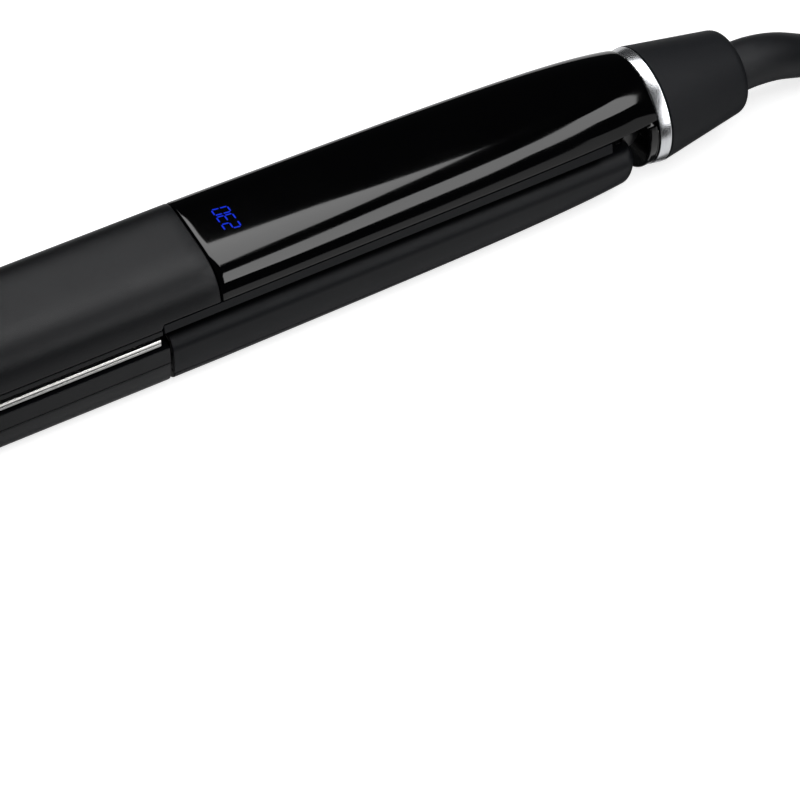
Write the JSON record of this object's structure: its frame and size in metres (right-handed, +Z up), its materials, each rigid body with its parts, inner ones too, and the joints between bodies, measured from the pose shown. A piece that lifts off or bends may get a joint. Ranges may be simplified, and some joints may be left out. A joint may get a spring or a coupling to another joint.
{
  "type": "hair straightener",
  "caption": "Slim hair straightener: two hinged arms with floating heated plates, a gloss handle with a lit display, a silver ring and a swivelling mains cord, tied in a hank, with a plug.",
  "frame": {"origin": "centre of the body's footprint, on the surface it rests on, without its cord", "axes": "+X along the body towards the cord, +Y across it, +Z up, out of the face with the display"},
  "size_m": [0.4521, 0.0731, 0.0346],
  "materials": {
    "shell_matte": "fine-grained matt charcoal",
    "frame_satin": "satin black, heat-resistant",
    "cover_gloss": "piano-black gloss",
    "ring_silver": "satin silver",
    "plate_coated": "ceramic-coated, smooth satin",
    "steel": "zinc-plated",
    "plug_pin_nickel": "nickel-plated",
    "heater_ceramic": "matt white ceramic heater strip",
    "silicone": "red silicone",
    "circuit_board": "green laminate",
    "display_lens": "dark display with blue digits",
    "button_nylon": "satin black",
    "swivel_nylon": "satin black",
    "cord_black": "matt black PVC"
  },
  "bodies": {
    "lower_arm": {"lower_front_shell": "shell_matte", "lower_front_frame": "frame_satin", "lower_tip_cap": "frame_satin", "lower_handle_shell": "shell_matte", "lower_handle_cover": "shell_matte", "cover_screw_front": "steel", "cover_screw_rear": "steel", "lower_heater_wires": "silicone", "hinge_bracket": "steel", "hinge_pin": "steel", "opening_spring": "steel", "lower_cushion_tip_far": "silicone", "lower_cushion_tip_near": "silicone", "lower_cushion_handle_far": "silicone", "lower_cushion_handle_near": "silicone", "cord_boot": "cord_black", "cord_lead": "cord_black", "cord_hank": "cord_black", "cord_tail": "cord_black", "plug_body": "cord_black", "plug_pin_near": "plug_pin_nickel", "plug_pin_far": "plug_pin_nickel"},
    "upper_arm": {"upper_front_shell": "shell_matte", "upper_front_frame": "frame_satin", "upper_tip_cap": "frame_satin", "upper_gloss_cover": "cover_gloss", "upper_handle_base": "frame_satin", "control_board": "circuit_board", "display_module": "display_lens", "supply_wires": "cord_black", "upper_heater_wires": "silicone", "hinge_housing": "cover_gloss", "tongue_screw_near": "steel", "tongue_screw_far": "steel", "upper_cushion_tip_far": "silicone", "upper_cushion_tip_near": "silicone", "upper_cushion_handle_far": "silicone", "upper_cushion_handle_near": "silicone", "silver_ring": "ring_silver", "collar": "shell_matte", "swivel_retainer": "swivel_nylon"},
    "upper_plate_body": {"upper_plate": "plate_coated", "upper_heater": "heater_ceramic"},
    "lower_plate_body": {"lower_plate": "plate_coated", "lower_heater": "heater_ceramic"},
    "power_key": {"power_button": "button_nylon"},
    "minus_key": {"minus_button": "button_nylon"},
    "plus_key": {"plus_button": "button_nylon"},
    "cord_swivel": {"swivel_barrel": "swivel_nylon"}
  },
  "joints": [
    {"name": "arm_hinge", "type": "hinge", "parent": "lower_arm", "child": "upper_arm", "pos_m": [0.11105, 0, 0.01757], "axis": [0, 1, 0], "range_deg": [0, 10], "deforming": ["cord_boot", "opening_spring"]},
    {"name": "upper_plate_float", "type": "slide", "parent": "upper_arm", "child": "upper_plate_body", "axis": [0, 0, 1], "range_m": [0, 0.0009], "stiffness_N_per_m": 2500, "springref_m": -0.001, "deforming": ["upper_cushion_tip_far", "upper_cushion_tip_near", "upper_cushion_handle_far", "upper_cushion_handle_near"]},
    {"name": "lower_plate_float", "type": "slide", "parent": "lower_arm", "child": "lower_plate_body", "axis": [0, 0, -1], "range_m": [0, 0.0006], "stiffness_N_per_m": 2500, "springref_m": -0.001, "deforming": ["lower_cushion_tip_far", "lower_cushion_tip_near", "lower_cushion_handle_far", "lower_cushion_handle_near"]},
    {"name": "power_press", "type": "slide", "parent": "upper_arm", "child": "power_key", "axis": [0, 0, 1], "range_m": [0, 0.0005], "stiffness_N_per_m": 900, "springref_m": -0.0006},
    {"name": "minus_press", "type": "slide", "parent": "upper_arm", "child": "minus_key", "axis": [0, 0, 1], "range_m": [0, 0.0005], "stiffness_N_per_m": 900, "springref_m": -0.0006},
    {"name": "plus_press", "type": "slide", "parent": "upper_arm", "child": "plus_key", "axis": [0, 0, 1], "range_m": [0, 0.0005], "stiffness_N_per_m": 900, "springref_m": -0.0006},
    {"name": "cord_swivel_turn", "type": "hinge", "parent": "upper_arm", "child": "cord_swivel", "pos_m": [0.14595, 0, 0.01647], "axis": [1, 0, 0], "continuous": true}
  ]
}
